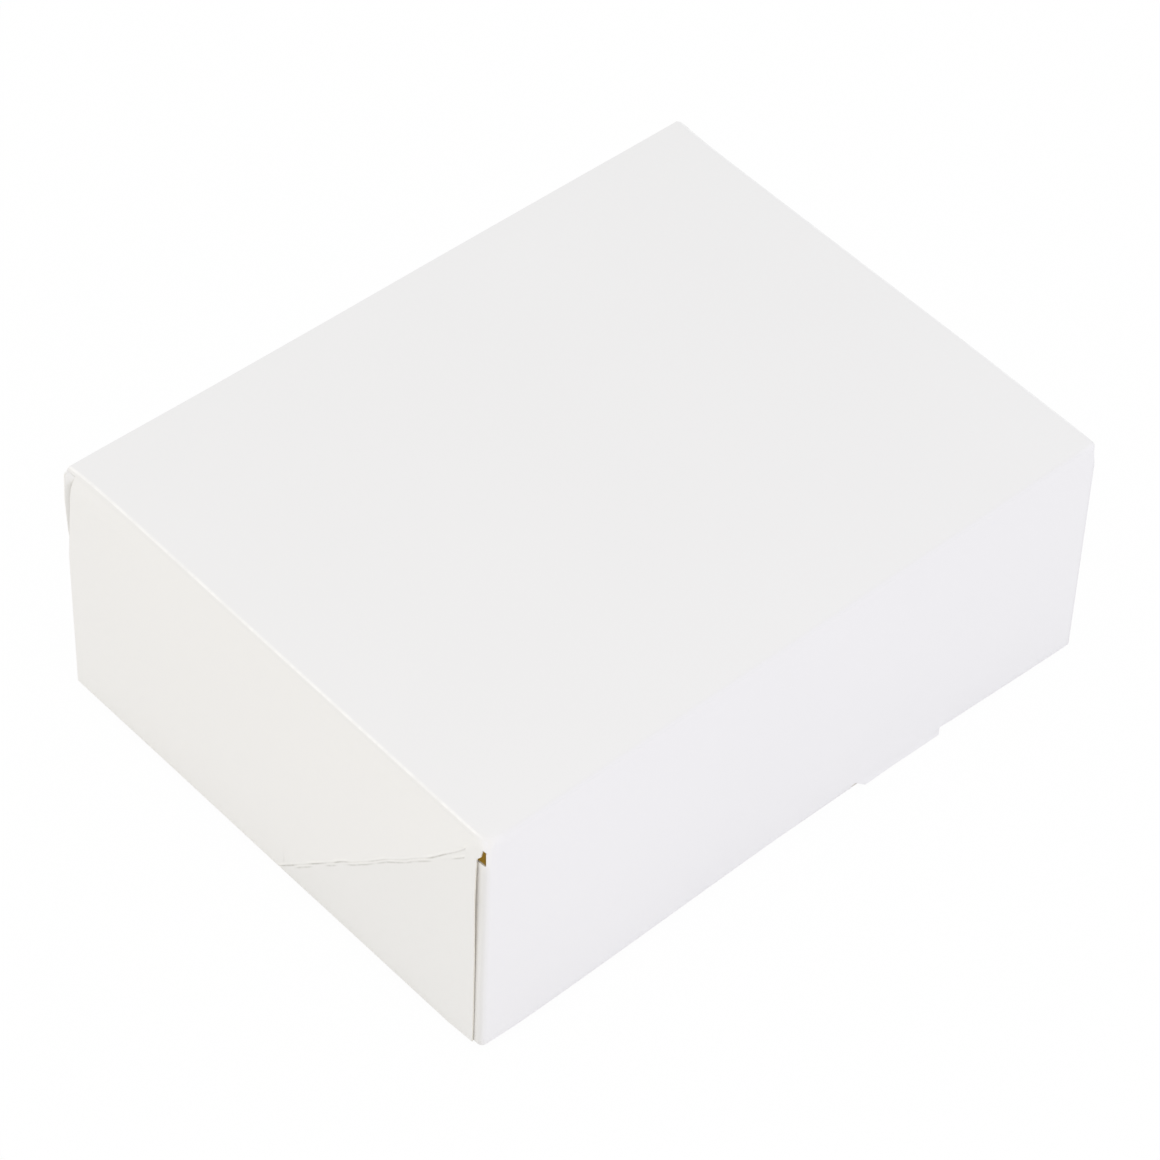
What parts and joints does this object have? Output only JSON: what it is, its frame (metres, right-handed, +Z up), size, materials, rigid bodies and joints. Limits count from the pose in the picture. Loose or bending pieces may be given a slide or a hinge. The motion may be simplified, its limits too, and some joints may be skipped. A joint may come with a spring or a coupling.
{
  "type": "cake box",
  "caption": "Plain white folded paperboard cake box: a straight-walled tray with a full-depth lid that swings back on its rear fold.",
  "frame": {"origin": "middle of the box's outline on the surface it stands on, at the base's underside", "axes": "+X to the right along the front, +Y from the front to the back fold, +Z up"},
  "size_m": [0.2388, 0.1818, 0.0899],
  "materials": {
    "white_board": "smooth white clay-coated face, satin; uncoated cream back and pale cut edges"
  },
  "bodies": {
    "tray": {"tray": "white_board"},
    "lid": {"lid": "white_board"}
  },
  "joints": [
    {"name": "lid_hinge", "type": "hinge", "parent": "tray", "child": "lid", "pos_m": [0, 0.0907, 0.08965], "axis": [-1, 0, 0], "range_deg": [0, 209]}
  ]
}
